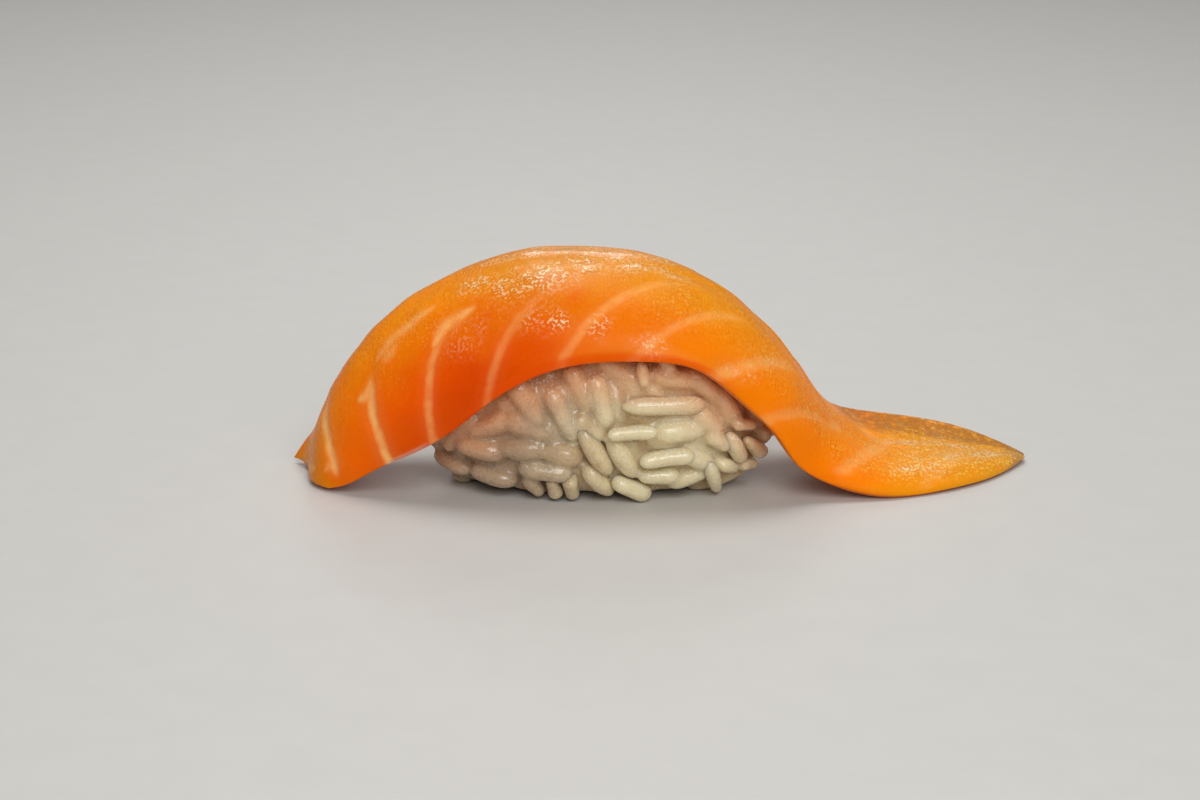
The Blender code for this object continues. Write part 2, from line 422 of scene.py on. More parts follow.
@dataclass(frozen=True)
class SalmonFinish:
    """Raw salmon: translucent orange flesh, pale lines of fat, fine wet grain, painted shade deeper
    down the sides, and painted golden sparkles and glints as highlights.

    The piece gives two attributes: place, as the share of the length, the across value and how
    far under it is, and fat, as the count of fat lines passed, the spacing in line widths and the
    paleness of the nearest line.
    """

    upper: Stops = (
        (0.00, "E88A0A"), (0.045, "EA8606"), (0.12, "F78202"), (0.24, "F28A06"), (0.38, "DC880E"),
        (0.52, "E68E08"), (0.66, "FA8A00"), (0.76, "F88A02"), (0.85, "EC9812"), (0.95, "E6981C"),
        (1.00, "C08C48"),
    )
    # Towards each edge: deeper, darker red-orange, partly the flesh's own colour and partly painted
    # shade on the sides that turn down from the light.
    lower: Stops = (
        (0.00, "E08A06"), (0.04, "EE6E02"), (0.12, "F66800"), (0.19, "F25800"), (0.27, "E64A00"),
        (0.34, "E85400"), (0.44, "EC7202"), (0.52, "F07E02"), (0.64, "FC8000"), (0.76, "F67C02"),
        (0.86, "EE900E"), (0.95, "E8981C"), (1.00, "C08C48"),
    )
    fat: Tint = Tint("FFBC70")
    mottle: Tint = Tint("FFA42C")
    pit: Tint = Tint("D85200")
    # Painted highlight: golden sparkle beads.
    sparkle_bead: Tint = Tint("FFCA64")
    # Painted shade: a darker, deeper red low on the near side at the left.
    low_left_shade: Tint = Tint("C44000")
    toe: Tint = Tint("DE7E06", 0.85)
    under: Tint = Tint("E26A14", 0.7)
    rim: Tint = Tint("96602E", 0.70)
    edge: Tint = Tint("D2A08C", 0.5)
    lip: Tint = Tint("EA4E00", 0.65)
    # Painted highlight: the colour of the glints.
    glint: Tint = Tint("FFE4B0", 0.90)
    halo_share: float = 0.12
    groove_share: float = -0.3
    bump_depth: float = 0.10

    def flesh(self, desk: NodeDesk, spot: Any, along: Any, across: Any, phase: Any) -> Any:
        """The flesh's colour: two ramps along the slice, the lower, deeper one towards each edge,
        partly the flesh's own colour and partly painted shade where the sides turn down from the
        light, with more painted shade low on the near side at the left.
        """
        drift = desk.noise(spot, 4.0, 3.0)
        shifted = desk.push(desk.sum("ADD", along, -0.04), drift, 0.08)
        near = desk.push(across, drift, 0.30)
        far = desk.push(desk.times(across, -1.0), drift, 0.30)
        # How far down the sides a point lies, which brings in the lower ramp's partly painted shade.
        height = desk.sum("MINIMUM", desk.ease(near, -0.72, -0.05), desk.ease(far, -0.85, -0.30))
        mixed = desk.blend(height, desk.ramp(shifted, self.lower), desk.ramp(shifted, self.upper))
        # Painted shade: darker, deeper red low on the near side, towards the left of the slice.
        low = desk.ease(across, -0.72, -0.99)
        left = desk.ease(along, 0.40, 0.24)
        shade_darkened = desk.lay(mixed, self.low_left_shade, low, left, desk.ease(along, 0.06, 0.16, 0.0, 0.45))
        facet = desk.ease(phase, 1.0, 0.75)
        return desk.lay(shade_darkened, self.toe, facet, desk.ease(across, 0.25, -0.05))

    def fatty(self, desk: NodeDesk, spot: Any, phase: Any, fat: Sequence[Any], flesh: Any) -> Any:
        """The flesh with its lines of fat, each in a faint halo.

        Args:
            desk: The desk to work on.
            spot: Object coordinates.
            phase: The count of fat lines passed.
            fat: The spacing in line widths, and the paleness.
            flesh: The flesh's colour.

        Returns:
            The colour, and the mask of the lines.
        """
        spacing, pale = fat
        wavy = desk.push(desk.sum("ADD", phase, 0.45), desk.noise(spot, 2.2, 2.0), 0.10)
        away = desk.sum("ABSOLUTE", desk.sum("SUBTRACT", desk.sum("FRACT", wavy), 0.5))
        widths = desk.times(away, spacing)
        line = desk.times(desk.ease(widths, 1.9, 0.2), pale)
        drawn = desk.sum("MAXIMUM", line, desk.number("streak"))
        lines = desk.times(drawn, desk.ease(desk.noise(spot, 1.4, 2.0), 0.30, 0.62, 0.60, 1.0))
        halo = desk.times(desk.ease(widths, 5.0, 0.5), pale, self.halo_share)
        return desk.lay(flesh, self.fat, desk.sum("ADD", lines, halo, clamp=True)), lines

    def rims(self, desk: NodeDesk, spot: Any, along: Any, across: Any, base: Any) -> Any:
        """The skin-side rim at the tail's far edge, the deep near lip and the pale toe edge."""
        shifted = desk.push(along, desk.noise(spot, 3.0, 3.0), 0.08)
        rim_place = desk.push(across, desk.noise(spot, 2.5, 3.0), 0.3)
        far_rim = desk.times(desk.ease(rim_place, 0.42, 0.66), desk.ease(shifted, 0.755, 0.815))
        rim_patch = desk.ease(desk.noise(spot, 0.9, 2.0), 0.30, 0.55, 0.35, 1.0)
        rimmed = desk.lay(base, self.rim, far_rim, rim_patch)
        lip_part = desk.times(desk.ease(along, 0.24, 0.32), desk.ease(along, 0.60, 0.50))
        lipped = desk.lay(rimmed, self.lip, desk.ease(across, -0.93, -0.97), lip_part)
        edge_part = desk.times(desk.ease(along, 0.115, 0.14), desk.ease(along, 0.20, 0.18))
        return desk.lay(lipped, self.edge, desk.ease(across, -0.975, -0.985), edge_part)

    def make(self) -> bpy.types.Material:
        """Builds the material."""
        material, desk, shader = new_material("raw salmon")
        spot = desk.place()
        along, across, under = desk.numbers("place")
        phase, *fat = desk.numbers("fat")
        flesh = self.flesh(desk, spot, along, across, phase)
        fatty, lines = self.fatty(desk, spot, phase, fat, flesh)

        grain = desk.use(Groups.grain(), Vector=spot, Scale=2400.0, Coarse_Share=0.3)
        clear_edge = desk.ease(across, -0.93, -0.55)
        upper_side = desk.ease(desk.push(across, desk.noise(spot, 3.0, 1.0), 0.3), -0.45, -0.10)
        rough_side = desk.sum("MAXIMUM", desk.ease(along, 0.36, 0.50), upper_side)
        roughness = desk.push(0.12, rough_side, 0.88)
        zone = desk.times(clear_edge, roughness, desk.ease(along, 0.03, 0.14))
        mottled = desk.lay(fatty, self.mottle, zone, desk.ease(grain, 0.50, 0.72, 0.0, 0.35))
        pitted = desk.lay(mottled, self.pit, zone, desk.ease(grain, 0.48, 0.28, 0.0, 0.22))

        tail = desk.ease(along, 0.76, 0.84)
        patch = desk.ease(desk.noise(spot, 5.0, 2.0), 0.42, 0.62, 0.25, 1.0)
        high = desk.ease(across, -0.90, -0.55)
        # Painted highlights: golden sparkle beads laid in the colour, most on the tail and the right
        # half; the beads also raise the bump.
        beads = desk.use(Groups.stipple(), Vector=spot, Scale=2300.0, Radius=0.50, Share=0.62)
        amount = desk.push(desk.push(0.15, desk.ease(along, 0.30, 0.62), 0.40), tail, 0.45)
        spread = desk.times(clear_edge, desk.sum("MAXIMUM", desk.times(patch, high), tail))
        sparkled = desk.lay(pitted, self.sparkle_bead, beads, spread, amount)
        edged = self.rims(desk, spot, along, across, sparkled)

        # Painted highlights: pale worm-like glints laid in the colour where the glint attribute is
        # set; they also raise the bump and the coat.
        worms = desk.noise(spot, 0.34, 1.0)
        broken = desk.ease(desk.noise(spot, 2.4, 2.0), 0.36, 0.60, 0.25, 1.0)
        patch_shine = desk.times(desk.number("glint"), broken)
        shone = desk.lay(edged, self.glint, desk.ease(worms, 0.49, 0.62), patch_shine)

        wet = desk.times(zone, desk.push(desk.times(tail, 0.3), patch, 0.6))
        wet = desk.times(wet, desk.ease(across, 0.55, 0.25, 0.15, 1.0))
        fine = desk.times(grain, 0.35, zone)
        ridged = desk.ease(worms, 0.44, 0.60)
        relief = desk.push(fine, ridged, desk.sum("MAXIMUM", wet, patch_shine))
        beaten = desk.push(relief, desk.times(beads, zone), 0.25)
        desk.fix(
            shader,
            Base_Color=desk.lay(shone, self.under, under),
            Subsurface_Weight=0.30,
            Subsurface_Radius=(1.0, 0.30, 0.06),
            Subsurface_Scale=2.0 * MM,
            IOR=1.40,
            Specular_IOR_Level=0.22,
            Specular_Tint=(1.0, 0.66, 0.30, 1.0),
            Roughness=desk.ease(grain, 0.30, 0.70, 0.22, 0.42),
            Coat_Weight=desk.times(patch_shine, 0.5),
            Coat_Roughness=0.12,
            Normal=desk.bump(desk.push(beaten, lines, self.groove_share), 1.0, self.bump_depth),
        )
        return material


@dataclass(frozen=True)
class RiceFinish:
    """Cooked rice: translucent cream grains, each a little different, with a painted orange glow
    near the salmon, painted shade towards the near left and in the gaps, and painted highlights on
    the tops of the lighter grains.

    The piece gives one attribute, tone: the grain's own lightness from 0 to 1, how near the salmon
    is, and how much a point lies in the gaps between grains.
    """

    dark: Tint = Tint("D2AE7C")
    light: Tint = Tint("E2D4AE")
    # Painted shade towards the left of the near side.
    shaded: Tint = Tint("A68C74")
    # Painted light: the salmon's orange glow on the grains near it.
    painted_glow: Tint = Tint("DE9E6E", 0.80)
    # Painted shade in the gaps between grains.
    gap: Tint = Tint("A87848", 0.30)
    # Painted highlights on the tops of the lighter grains.
    sparkle_bead: Tint = Tint("FFFCEC", 0.65)
    bump_depth: float = 0.09

    def make(self) -> bpy.types.Material:
        """Builds the material."""
        material, desk, shader = new_material("cooked rice")
        spot = desk.place()
        lightness, closeness, gap = desk.numbers("tone")
        x, y, _ = desk.parts(spot)
        cloud = desk.noise(spot, 1.6, 2.0)
        mixed = desk.ease(desk.push(desk.times(lightness, 0.75), cloud, 0.5), 0.25, 0.90)
        body = desk.lay(colour(self.dark.code), self.light, mixed)
        # Painted shade: a darker, browner tint towards the left, strongest on the near side.
        left = desk.ease(desk.push(x, cloud, 8.0 * MM), 0.0, -13.0 * MM)
        left_shaded = desk.lay(body, self.shaded, left, desk.ease(y, 4.0 * MM, -4.0 * MM, 0.2, 0.85))
        # Painted light: an orange glow on the grains near the salmon.
        glow_share = desk.push(closeness, desk.sum("ADD", cloud, -0.5), 0.5, clamp=True)
        # Then painted shade darkens the gaps between grains.
        gap_shaded = desk.lay(desk.lay(left_shaded, self.painted_glow, glow_share), self.gap, gap)
        beads = desk.use(Groups.stipple(), Vector=spot, Scale=2900.0, Radius=0.50, Share=0.80)
        # Painted highlights: pale beads on the upward-facing tops of the lighter grains.
        rise = desk.parts(desk.put("ShaderNodeNewGeometry").outputs["Normal"])[2]
        lit_crown = desk.times(desk.ease(rise, 0.15, 0.65), desk.ease(lightness, 0.55, 0.95))
        grain = desk.use(Groups.grain(), Vector=spot, Scale=2600.0, Coarse_Share=0.3)
        desk.fix(
            shader,
            Base_Color=desk.lay(gap_shaded, self.sparkle_bead, beads, lit_crown),
            Subsurface_Weight=0.95,
            Subsurface_Radius=(1.0, 0.92, 0.82),
            Subsurface_Scale=2.0 * MM,
            IOR=1.38,
            Roughness=desk.ease(grain, 0.3, 0.7, 0.20, 0.38),
            Coat_Weight=0.6,
            Coat_Roughness=0.14,
            Normal=desk.bump(desk.push(grain, beads, 0.9), 0.8, self.bump_depth),
        )
        return material


@dataclass(frozen=True)
class PlainFinish:
    """A plain matt surface of one colour, with a trace of grain."""

    name: str
    main: Tint
    speckle: Tint = Tint("808080")
    roughness: float = 0.6

    def make(self) -> bpy.types.Material:
        """Builds the material."""
        material, desk, shader = new_material(self.name)
        grain = desk.ease(desk.noise(desk.place(), 6.0, 2.0), 0.3, 0.7, 0.0, 0.03)
        shade = desk.lay(colour(self.main.code), self.speckle, grain)
        desk.fix(shader, Base_Color=shade, Roughness=self.roughness)
        return material


# ---- the slice of salmon


@dataclass(frozen=True)
class FatLine:
    """A pale line of fat, from the near edge up towards the crest.

    With w as 0 at an edge and 1 at the crest, it runs through station
    start + sweep w + curl w² + hook w⁶, and mirrored down the far side.
    """

    start: float
    sweep: float
    curl: float = 0.0
    hook: float = 0.0
    width: float = 0.34
    pale: float = 0.7
    low: float = -0.1
    high: float = 1.1

    def station(self, w: Array) -> Array:
        """The station that the line runs through at each w."""
        return self.start + self.sweep * w + self.curl * w**2 + self.hook * w**6

    def paleness(self, w: Array) -> Array:
        """How pale the line is at each w: full from low to high, fading over 0.15 past them."""
        rise = self.pale * smooth_step(self.low - 0.15, self.low, w)
        return rise * smooth_step(self.high + 0.15, self.high, w)


@dataclass(frozen=True)
class Streak:
    """A soft pale streak on the top face, through points of a station and a place across."""

    path: tuple[tuple[float, float], ...]
    width: float = 0.5
    pale: float = 0.5

    def strength(self, station: Array, across: Array, scale: tuple[float, float]) -> Array:
        """How pale the streak makes each point.

        The paleness is a bell over the distance to the nearest stretch of the path, and the
        streak tapers towards its two ends.

        Args:
            station: Station of each point.
            across: Place across of each point.
            scale: Millimetres in one station, and in one unit across.

        Returns:
            A value for each point, from 0 to pale.
        """
        best = np.zeros_like(station)
        size = np.array(scale)
        spot = stacked(station, across) * size
        knots = np.array(self.path) * size
        for k in range(len(knots) - 1):
            run = knots[k + 1] - knots[k]
            share = np.clip(((spot - knots[k]) @ run) / (run @ run), 0.0, 1.0)
            away = np.linalg.norm(spot - knots[k] - share[..., None] * run, axis=-1)
            total = (k + share) / (len(knots) - 1)
            taper = 0.35 + 0.65 * np.sin(np.pi * np.clip(total, 0.02, 0.98)) ** 0.5
            best = np.maximum(best, self.pale * np.exp(-((away / (self.width * taper)) ** 2)))
        return best


@dataclass
class SalmonSlice:
    """The slice of salmon, blunt at the left and drawn out to a flat tail at the right.

    The rails are points on its top face, at the same stations from toe to tip. Lengths are in
    millimetres.
    """

    near_rail: Rail = (
        (-37.9, -5.2, 0.5), (-35.4, -6.4, 1.4), (-31.6, -8.0, 3.8), (-27.4, -9.7, 6.1),
        (-23.0, -11.1, 9.2), (-18.6, -12.1, 12.9), (-13.2, -12.7, 15.9), (-7.4, -13.0, 17.2),
        (-0.8, -13.0, 17.3), (4.6, -12.7, 16.0), (9.2, -12.0, 12.1), (12.7, -11.0, 8.4),
        (15.2, -9.9, 4.6), (19.2, -8.9, 2.1), (25.2, -8.2, 0.6), (31.8, -5.5, 0.4),
        (38.0, -0.3, 0.3), (42.3, 6.2, 0.3),
    )
    crest_rail: Rail = (
        (-41.0, 1.2, 0.6), (-39.5, 1.0, 6.6), (-37.2, 0.5, 11.8), (-33.6, 0.1, 16.8),
        (-28.6, 0.0, 21.2), (-22.2, 0.0, 24.8), (-15.0, 0.0, 26.7), (-7.6, 0.0, 27.0),
        (-0.4, 0.0, 25.8), (6.4, 0.0, 22.3), (12.0, 0.0, 17.6), (16.2, 0.2, 12.8),
        (19.0, 0.6, 8.5), (22.8, 1.2, 4.9), (28.0, 2.0, 3.2), (33.4, 3.2, 2.6),
        (38.9, 4.9, 1.7), (42.9, 7.3, 0.7),
    )
    far_rail: Rail = (
        (-43.1, 6.6, 0.8), (-40.6, 7.4, 3.6), (-35.8, 9.0, 5.6), (-30.0, 10.4, 8.2),
        (-24.2, 11.6, 11.4), (-18.6, 12.4, 14.4), (-13.2, 12.8, 16.4), (-7.4, 13.0, 17.4),
        (-0.8, 13.0, 17.4), (4.8, 12.8, 16.2), (9.6, 12.6, 13.2), (13.6, 12.5, 10.0),
        (17.4, 12.4, 7.2), (22.0, 12.3, 5.4), (27.8, 12.1, 4.6), (33.8, 11.5, 3.8),
        (39.2, 10.4, 2.2), (43.0, 8.6, 0.7),
    )
    thickness: tuple[float, ...] = (
        2.6, 3.2, 3.8, 4.3, 4.6, 4.8, 4.9, 4.9, 4.8, 4.6, 4.2, 3.8, 3.4, 3.0, 2.6, 2.2, 1.6, 0.9,
    )
    fat_lines: tuple[FatLine, ...] = (
        FatLine(0.72, 0.88, width=0.50, pale=0.85, low=0.25, high=0.80),
        FatLine(2.22, 0.70, 0.60, 2.50, width=0.44, pale=0.80, high=0.44),
        FatLine(3.40, 1.30, 1.60, 8.00, width=0.38, pale=0.44, high=0.38),
        FatLine(4.75, 2.40, 0.80, 1.20, width=0.42, pale=0.30, high=0.40),
        FatLine(6.25, 2.30, 0.50, 0.60, width=0.44, pale=0.34, high=0.64),
        FatLine(7.55, 2.50, width=0.46, pale=0.32, high=0.64),
        FatLine(9.15, 1.75, 0.15, width=0.55, pale=0.45, high=0.72),
        FatLine(10.50, 1.50, 0.90, width=0.55, pale=0.35, high=0.60),
        FatLine(12.90, 0.10, 0.45, width=0.60, pale=0.35, low=0.25),
        FatLine(14.60, 0.10, 0.50, width=0.60, pale=0.20, low=0.20),
    )
    streaks: tuple[Streak, ...] = (
        Streak(((1.15, -0.58), (1.00, -0.74), (0.60, -0.72)), 0.7, 0.55),
        Streak(((0.10, -0.05), (0.15, -0.30), (0.35, -0.50)), 0.7, 0.45),
        Streak(((2.80, -0.50), (2.60, -0.56), (2.40, -0.54)), 0.5, 0.75),
        Streak(((3.15, -0.40), (3.50, -0.36), (4.40, -0.33)), 0.5, 0.60),
        Streak(((3.25, -0.46), (3.60, -0.42)), 0.5, 0.40),
        Streak(((4.25, -0.57), (4.45, -0.51), (5.00, -0.48)), 0.5, 0.75),
        Streak(((5.90, -0.34), (6.70, -0.30), (7.80, -0.26), (8.60, -0.22)), 0.5, 0.25),
        Streak(((12.2, -0.30), (12.4, -0.15)), 0.9, 0.50),
        Streak(((13.1, -0.65), (13.4, -0.20), (13.8, 0.25)), 0.7, 0.45),
        Streak(((12.6, 0.93), (13.2, 0.95), (14.4, 0.93), (15.6, 0.90)), 0.4, 0.80),
        Streak(((13.8, -0.60), (14.6, -0.45), (15.4, -0.30)), 0.7, 0.30),
    )
    # Patches of painted highlight (glints) on the top face, drawn as streaks.
    glints: tuple[Streak, ...] = (
        Streak(((5.0, -0.28), (5.6, -0.40), (6.2, -0.38), (6.8, -0.30), (7.4, -0.14)), 1.6, 1.0),
        Streak(((5.3, -0.05), (6.2, -0.10), (7.4, -0.05), (8.2, 0.00)), 1.1, 0.8),
        Streak(((5.6, 0.15), (6.6, 0.12), (7.6, 0.12)), 1.0, 0.7),
        Streak(((6.2, -0.46), (6.8, -0.35), (7.4, -0.26), (8.4, -0.18)), 1.0, 0.8),
        Streak(((5.8, -0.72), (6.2, -0.69), (6.5, -0.75)), 1.0, 0.8),
        Streak(((6.9, -0.80), (7.2, -0.75)), 1.0, 0.5),
        Streak(((7.6, -0.88), (8.2, -0.90)), 0.9, 0.4),
        Streak(((9.3, -0.86), (10.0, -0.76)), 0.9, 0.25),
        Streak(((4.5, -0.66), (5.1, -0.62)), 1.4, 0.2),
        Streak(((13.9, -0.55), (15.0, -0.30), (16.2, 0.00)), 2.8, 0.8),
        Streak(((13.6, 0.10), (14.6, 0.20), (15.8, 0.15)), 1.0, 0.9),
    )
    station_length: float = 6.3
    half_width: float = 13.0
    slant: float = 0.75
    crown_arc: float = 1.15
    lip_share: float = 0.09
    lip_power: float = 14.0
    undercut_power: float = 4.0
    end_rounding: float = 0.045
    notch_depth: float = 0.10
    notch_place: float = -0.12
    notch_width: float = 0.22
    notch_reach: float = 0.12
    flake_swell: float = 0.16
    fat_groove: float = 0.10
    groove_width: float = 1.6
    lump_height: float = 0.22
    lump_length: float = 17.0
    fine_lump_share: float = 0.35
    fine_lump_length: float = 5.0
    rows: int = 300
    columns: int = 148
    finish: SalmonFinish = field(default_factory=SalmonFinish)

    @property
    def last(self) -> int:
        """Number of the last station."""
        return len(self.crest_rail) - 1

    def top_face(self, along: Array, across: Array) -> Array:
        """Points of the top face.

        A section leaves the crest level, along Y, and follows an arc of an ellipse down to each
        edge: sideways as the sine of an angle, and down as one less its cosine. A dent with a
        bell's outline draws the toe in near its middle.

        Args:
            along: Share of the length, 0 at the toe and 1 at the tail tip.
            across: -1 at the near edge, 0 on the crest, 1 at the far edge.

        Returns:
            Points in millimetres.
        """
        notch = self.notch_depth * np.exp(-(((across - self.notch_place) / self.notch_width) ** 2))
        station = along * self.last + notch * np.clip(1.0 - along / self.notch_reach, 0.0, 1.0) ** 2
        crest = natural_spline(self.crest_rail, station)
        near = natural_spline(self.near_rail, station)
        far = natural_spline(self.far_rail, station)
        edge = np.where((across < 0.0)[..., None], near, far) - crest
        arc = self.crown_arc * np.abs(across)
        sideways = np.sin(arc) / np.sin(self.crown_arc)
        down = (1.0 - np.cos(arc)) / (1.0 - np.cos(self.crown_arc))
        return crest + edge * stacked(down, sideways, down)

    def top_normals(self, along: Array, across: Array) -> Array:
        """Unit normals of the top face, from small steps each way along it."""
        step = 1e-3
        a0, a1 = np.clip(along - step, 0.0, 1.0), np.clip(along + step, 0.0, 1.0)
        c0, c1 = np.clip(across - step, -1.0, 1.0), np.clip(across + step, -1.0, 1.0)
        lengthways = self.top_face(a1, across) - self.top_face(a0, across)
        crossways = self.top_face(along, c1) - self.top_face(along, c0)
        return unit(np.cross(lengthways, crossways))

    def end_round(self, along: Array) -> Array:
        """How full the slice is near its ends: a quarter circle from 0 to 1."""
        near_end = np.clip(np.minimum(along, 1.0 - along) / self.end_rounding, 0.0, 1.0)
        return np.sqrt(1.0 - (1.0 - near_end) ** 2)

    def fat_field(self, along: Array, across: Array) -> Array:
        """Where each point lies among the fat lines.

        Args:
            along: Share of the length.
            across: Place across, from -1 to 1.

        Returns:
            For each point, how many lines it is past with the share of the way to the next, the
            spacing of those two in line widths, and the paleness of the nearer one.
        """
        w = 1.02 - np.sqrt(across**2 + 0.0004)
        station = along * self.last
        runs = [FatLine(-3.0, 0.5, pale=0.0), *self.fat_lines, FatLine(22.0, 0.5, pale=0.0)]
        stations = np.stack([line.station(w) for line in runs])
        passed = np.clip((station >= stations).sum(axis=0) - 1, 0, len(runs) - 2)
        sides = (passed[None], passed[None] + 1)
        before, after = (np.take_along_axis(stations, side, 0)[0] for side in sides)
        share = np.clip((station - before) / np.maximum(after - before, 0.2), 0.0, 1.0)
        later = smooth_step(0.35, 0.65, share)
        paleness = np.stack([line.paleness(w) for line in runs])
        pale = mean_of(later, *(np.take_along_axis(paleness, side, 0)[0] for side in sides))
        widths = np.array([line.width for line in runs])
        width = mean_of(later, widths[passed], widths[passed + 1])
        spacing = (after - before) * (self.station_length * self.slant) / width
        return stacked(passed + share, spacing, pale)

    def relief(self, points: Array, fat: Array) -> Array:
        """Height of the top face's relief, in millimetres: flakes that swell between fat lines.

        A flake's height follows the sine of its share of the way, and a groove with a bell's
        outline runs along each line; slow ripples lie over both.
        """
        share = fat[..., 0] - np.floor(fat[..., 0])
        away = np.minimum(share, 1.0 - share) * fat[..., 1]
        swell = self.flake_swell * np.sqrt(np.sin(np.pi * share) + 1e-6)
        groove = self.fat_groove * fat[..., 2] * np.exp(-((away / self.groove_width) ** 2))
        lumps = self.lump_height * ripple(points, self.lump_length, 3)
        fine = self.fine_lump_share * self.lump_height * ripple(points, self.fine_lump_length, 4)
        return swell - groove + (lumps + fine)

    def grids(self) -> tuple[Array, Array, Array, Array]:
        """The top and bottom grids, which share their border, and each point's place values."""
        s = np.linspace(0.0, 1.0, self.rows)
        t = np.sin(np.pi / 2.0 * np.linspace(-1.0, 1.0, self.columns))
        crowded = s - 0.5 * np.sin(2.0 * np.pi * s) / (2.0 * np.pi)
        along, across = np.meshgrid(crowded, t, indexing="ij")
        face = self.top_face(along, across)
        normal = self.top_normals(along, across)
        thick = natural_spline(self.thickness, along * self.last)
        rounding = self.end_round(along)
        lip_full = squared_off(across, self.lip_power) * rounding
        under_full = squared_off(across, self.undercut_power) * rounding
        lip = self.lip_share * thick
        relief = self.relief(face, self.fat_field(along, across)) * lip_full
        relief *= smooth_step(0.0, 2.0, thick)
        top = face - normal * (lip * (1.0 - lip_full) - relief)[..., None]
        under = face - normal * (lip + (thick - lip) * under_full)[..., None]
        for grid in (top, under):
            grid[..., 2] = np.maximum(grid[..., 2], 0.0)
        return top, under, along, across

    def build(self) -> Piece:
        """Builds the slice as one closed surface, with its attributes."""
        top, under, along, across = self.grids()
        count = top.shape[0] * top.shape[1]
        quads = grid_quads(self.rows, self.columns)
        border = np.zeros(top.shape[:2], dtype=bool)
        border[[0, -1], :] = True
        border[:, [0, -1]] = True
        lower = np.where(border.reshape(-1), np.arange(count), np.arange(count) + count)
        points = np.concatenate([top.reshape(-1, 3), under.reshape(-1, 3)])
        faces = np.concatenate([quads, lower[quads][:, ::-1]])
        used = np.concatenate([np.ones(count, dtype=bool), ~border.reshape(-1)])
        renumber = np.cumsum(used) - 1
        piece = make_piece("salmon", points[used], renumber[faces])
        place = stacked(along, across, np.zeros_like(along)).reshape(-1, 3)
        below = place + (0.0, 0.0, 1.0)
        fat = self.fat_field(along, across).reshape(-1, 3)
        scale = (self.station_length, self.half_width)
        # streak marks the pale streaks of fat; glint marks where painted highlights go.
        for name, streaks in (("streak", self.streaks), ("glint", self.glints)):
            each = [one.strength(along * self.last, across, scale) for one in streaks]
            whole = np.max(each, axis=0).reshape(-1)
            store(piece, name, np.concatenate([whole, 0.0 * whole])[used])
        store(piece, "place", np.concatenate([place, below])[used])
        store(piece, "fat", np.concatenate([fat, fat])[used])
        return piece

    def dress(self, piece: Piece) -> None:
        """Gives the slice its finish and ties it to the frame."""
        piece.data.materials.append(self.finish.make())
        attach(piece, "root")
        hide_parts("salmon_slice")


# ---- the ball of rice


class Stack(Enum):
    """Which layer of the ball grains belong to, with its depth in millimetres."""

    OUTER = 1.15
    INNER = 3.2


@dataclass
class GrainBed:
    """A set of grains: each a bent capsule, by its middle, axis, side, sizes and lightness."""

    centre: Array
    axis: Array
    side: Array
    length: Array
    girth: Array
    bend: Array
    lightness: Array

    def spheres(self, count: int = 5) -> Array:
        """Middles of a row of spheres along each grain, for packing."""
        t = np.linspace(-1.0, 1.0, count)
        reach = (self.length / 2.0 - self.girth / 2.0)[:, None, None] * t[None, :, None]
        sag = (self.bend[:, None] * (t**2)[None, :])[..., None]
        return self.centre[:, None] + reach * self.axis[:, None] + sag * self.side[:, None]

    def part(self, keep: Any) -> "GrainBed":
        """The grains that an index or a mask picks."""
        return GrainBed(*(getattr(self, n)[keep] for n in self.__dataclass_fields__))

    def joined(self, other: "GrainBed") -> "GrainBed":
        """This bed with another's grains after its own."""
        names = self.__dataclass_fields__
        return GrainBed(*(np.concatenate([getattr(self, n), getattr(other, n)]) for n in names))


@dataclass
class Shell:
    """The ball's outline from the frame: middles and outward normals of its triangles."""

    middle: Array
    normal: Array

    @classmethod
    def of_node(cls, node: str) -> "Shell":
        """Reads a frame node's triangles, in millimetres."""
        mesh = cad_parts[node].data
        face = mesh_points(mesh)[mesh_triangles(mesh)] / MM
        normal = np.cross(face[:, 1] - face[:, 0], face[:, 2] - face[:, 0])
        keep = np.linalg.norm(normal, axis=1) > 1e-4
        return cls(face.mean(axis=1)[keep], unit(normal)[keep])

    def outside(self, points: Array) -> tuple[Array, Array]:
        """How far each point stands outside the outline, and the normal there."""
        nearest = nearest_of(points, self.middle)
        normal = self.normal[nearest]
        return ((points - self.middle[nearest]) * normal).sum(-1), normal


def nearest_of(points: Array, targets: Array) -> Array:
    """Index of the nearest target to each point, worked out in batches."""
    square = (targets**2).sum(1)[None]
    batches = (points[k : k + BATCH] for k in range(0, len(points), BATCH))
    return np.concatenate([(square - 2.0 * some @ targets.T).argmin(axis=1) for some in batches])


def distance_to(points: Array, targets: Array) -> Array:
    """Distance from each point to the nearest target."""
    return np.linalg.norm(points - targets[nearest_of(points, targets)], axis=1)


def biggest_part(points: Array, faces: Array) -> tuple[Array, Array]:
    """Keeps the largest connected part of a mesh of quads.

    Each point takes the lowest number among its neighbours until nothing changes, so all points
    of one part end with the same number.

    Args:
        points: The points.
        faces: Four indices for each face.

    Returns:
        The points and faces of the part with the most points.
    """
    label = np.arange(len(points))
    while True:
        lowest = label[faces].min(axis=1)
        fresh = label.copy()
        np.minimum.at(fresh, faces.reshape(-1), np.repeat(lowest, 4))
        fresh = fresh[fresh]
        if np.array_equal(fresh, label):
            break
        label = fresh
    keep = label == np.bincount(label).argmax()
    return points[keep], (np.cumsum(keep) - 1)[faces[keep[faces].all(axis=1)]]


def relaxed(points: Array, faces: Array, rounds: int) -> Array:
    """Smooths a mesh of quads: each round moves every point half way to its neighbours' mean."""
    edge = np.concatenate([faces[:, [k, (k + 1) % 4]] for k in range(4)])
    count = np.bincount(edge[:, 0], minlength=len(points))[:, None]
    for _ in range(rounds):
        total = [np.bincount(edge[:, 0], points[edge[:, 1], k], len(points)) for k in range(3)]
        points = 0.5 * points + 0.5 * stacked(*total) / count
    return points


